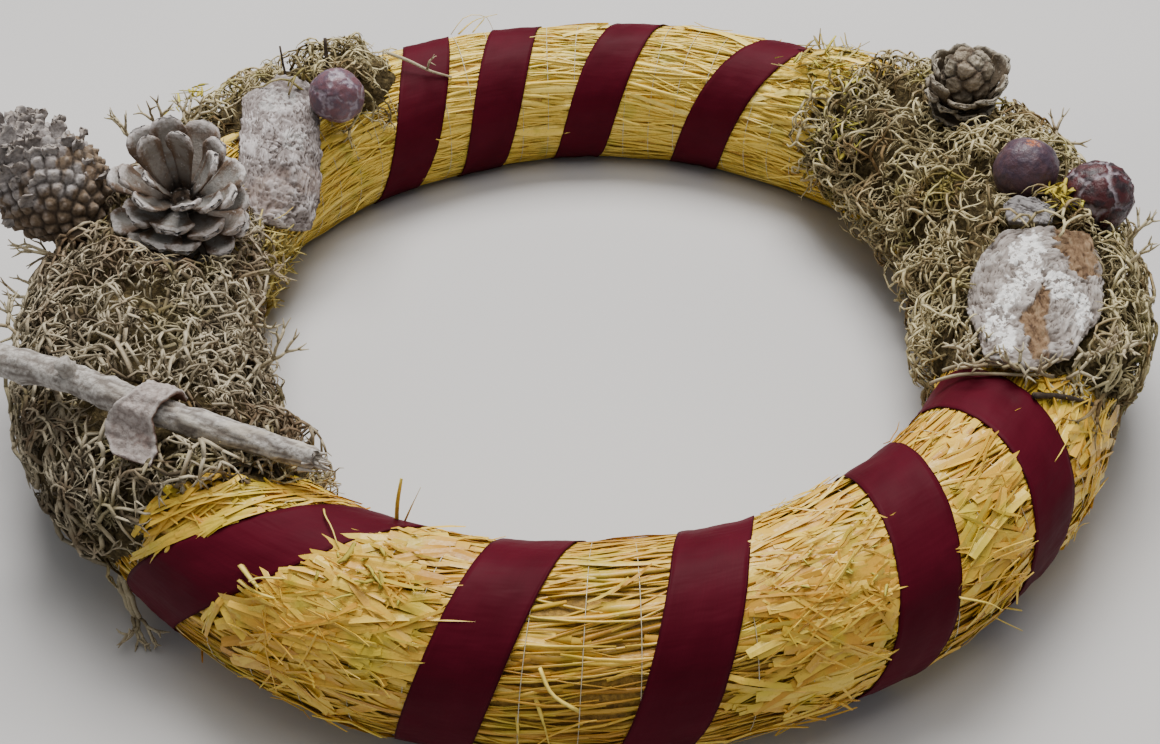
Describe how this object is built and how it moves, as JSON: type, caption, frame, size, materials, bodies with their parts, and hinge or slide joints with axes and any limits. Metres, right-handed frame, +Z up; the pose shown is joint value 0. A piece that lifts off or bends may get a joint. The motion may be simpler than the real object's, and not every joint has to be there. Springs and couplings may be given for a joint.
{
  "type": "christmas wreath",
  "caption": "Round bound-straw wreath wound with satin ribbon and dressed with reindeer moss, cones, bark pieces and a bare twig.",
  "frame": {"origin": "middle of the whole wreath's box on the level surface that it lies on", "axes": "+Z up out of the surface; -Y towards the viewer, on the side with the five wide ribbon turns; +X to the viewer's right, from the pine cones to the cypress cones"},
  "size_m": [0.4349, 0.4014, 0.108],
  "materials": {
    "straw": "dry yellow straw, silky along the stalks",
    "ribbon": "burgundy satin with a soft sheen",
    "moss": "dry grey-green branching lichen, matt",
    "cone_scales": "grey-brown woody scales, matt",
    "cone_weathered": "weathered grey-brown, rough",
    "cone_small": "dull olive brown, matt",
    "berry_mauve": "mauve with pale seams, satin",
    "berry_plum": "plum, smooth, satin",
    "berry_dark": "dark maroon plates with pale seams, satin",
    "bark_grey": "pale grey bark, rough",
    "bark_patched": "whitish bark with bare orange-brown patches, rough",
    "bark_inner": "thin grey-mauve bark, rough",
    "twig": "bare bleached twig, matt"
  },
  "bodies": {
    "root": {"straw_ring": "straw", "ribbon_front": "ribbon", "ribbon_back": "ribbon", "moss_left": "moss", "moss_back_left": "moss", "moss_right": "moss", "pine_cone_open": "cone_scales", "pine_cone_closed": "cone_weathered", "cone_small": "cone_small", "cypress_ball_left": "berry_mauve", "cypress_ball_plum": "berry_plum", "cypress_ball_dark": "berry_dark", "bark_plate_left": "bark_grey", "bark_plate_right": "bark_patched", "bark_chip": "bark_grey", "bark_strip": "bark_inner", "twig": "twig"}
  },
  "joints": []
}
